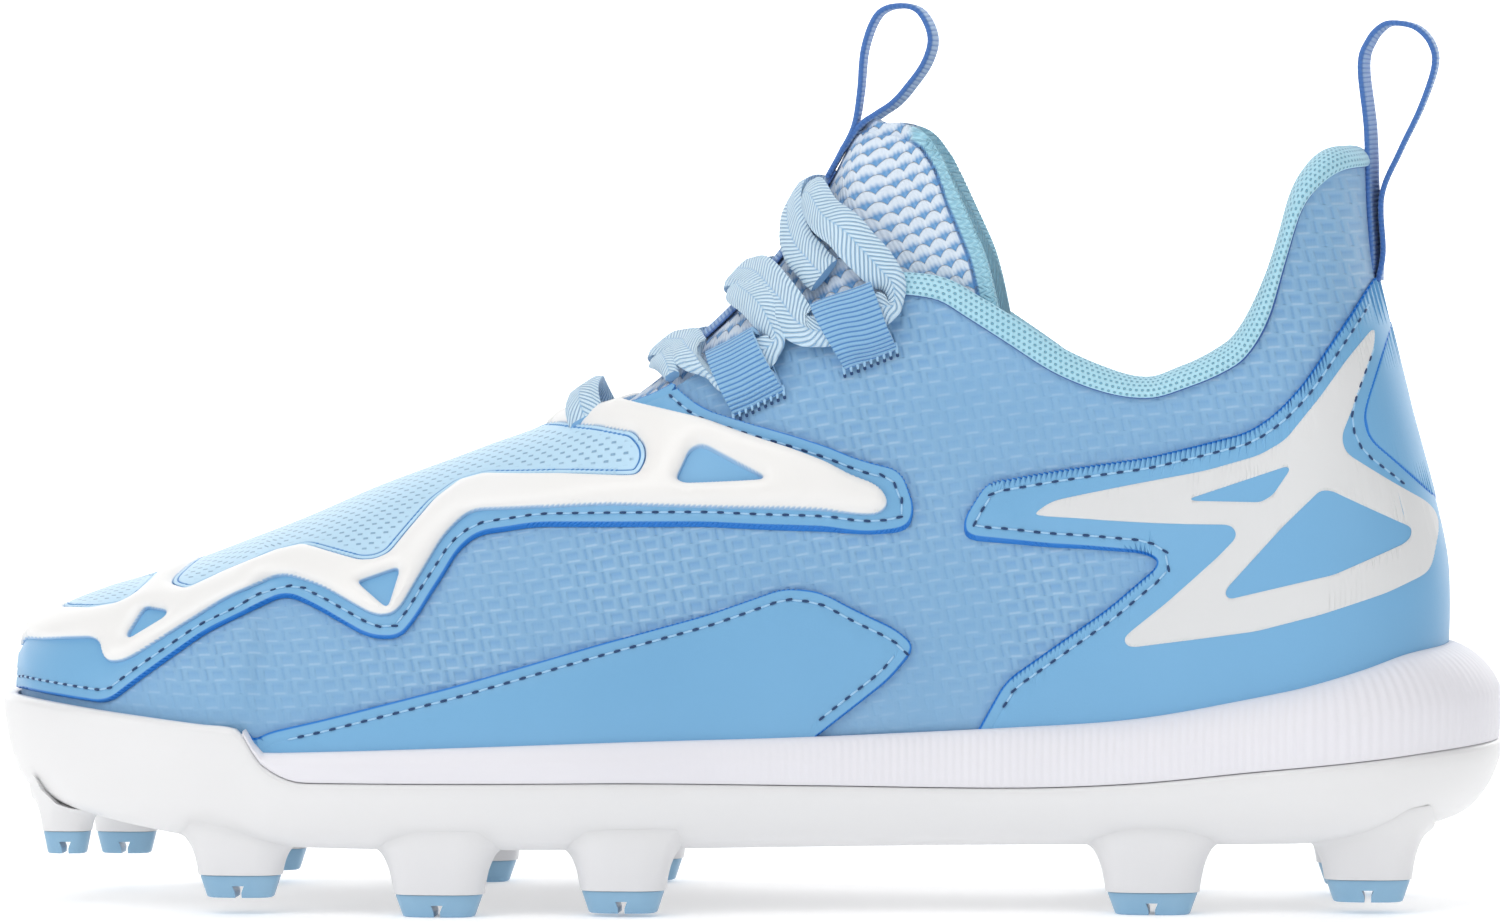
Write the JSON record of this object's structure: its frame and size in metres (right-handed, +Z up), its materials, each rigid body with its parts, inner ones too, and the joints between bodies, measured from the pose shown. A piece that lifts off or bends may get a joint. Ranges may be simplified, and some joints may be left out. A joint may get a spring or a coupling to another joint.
{
  "type": "baseball cleat",
  "caption": "Right baseball cleat with a hollow last-shaped upper, knitted ankle-high tongue, flat laces in webbing loops, foam midsole and a plate with moulded studs.",
  "frame": {"origin": "centre of the bounding box, at the height of the lowest stud tips", "axes": "+X from toe to heel, +Y towards the outer side, +Z up"},
  "size_m": [0.2519, 0.0901, 0.1509],
  "materials": {
    "outsole": "moulded, satin",
    "tip": "moulded, satin",
    "midsole": "moulded foam, matte",
    "insole": "brushed cloth",
    "upper": "embossed textile, matte",
    "lining": "mesh over foam",
    "tongue": "chunky knit",
    "overlay": "satin film over foam",
    "cage": "moulded film, satin",
    "lace": "flat woven lace",
    "webbing": "ribbed webbing"
  },
  "bodies": {
    "root": {"collar_lining": "lining", "heel_overlay": "overlay", "heel_pull_loop": "webbing", "insole": "insole", "lace_bar": "lace", "lace_cross_1": "lace", "lace_cross_2": "lace", "lace_cross_3": "lace", "lace_loop_inner_front": "webbing", "lace_loop_inner_rear": "webbing", "lace_loop_outer_front": "webbing", "lace_loop_outer_rear": "webbing", "lateral_panel": "overlay", "medial_panel": "overlay", "midsole": "midsole", "outsole": "outsole", "stud_tip_inner_1": "tip", "stud_tip_inner_2": "tip", "stud_tip_inner_3": "tip", "stud_tip_inner_4": "tip", "stud_tip_inner_5": "tip", "stud_tip_inner_6": "tip", "stud_tip_outer_1": "tip", "stud_tip_outer_2": "tip", "stud_tip_outer_3": "tip", "stud_tip_outer_4": "tip", "stud_tip_outer_5": "tip", "stud_tip_outer_6": "tip", "toe_cage": "cage", "toe_overlay": "overlay", "tongue": "tongue", "tongue_pull_loop": "webbing", "upper": "upper"}
  },
  "joints": []
}
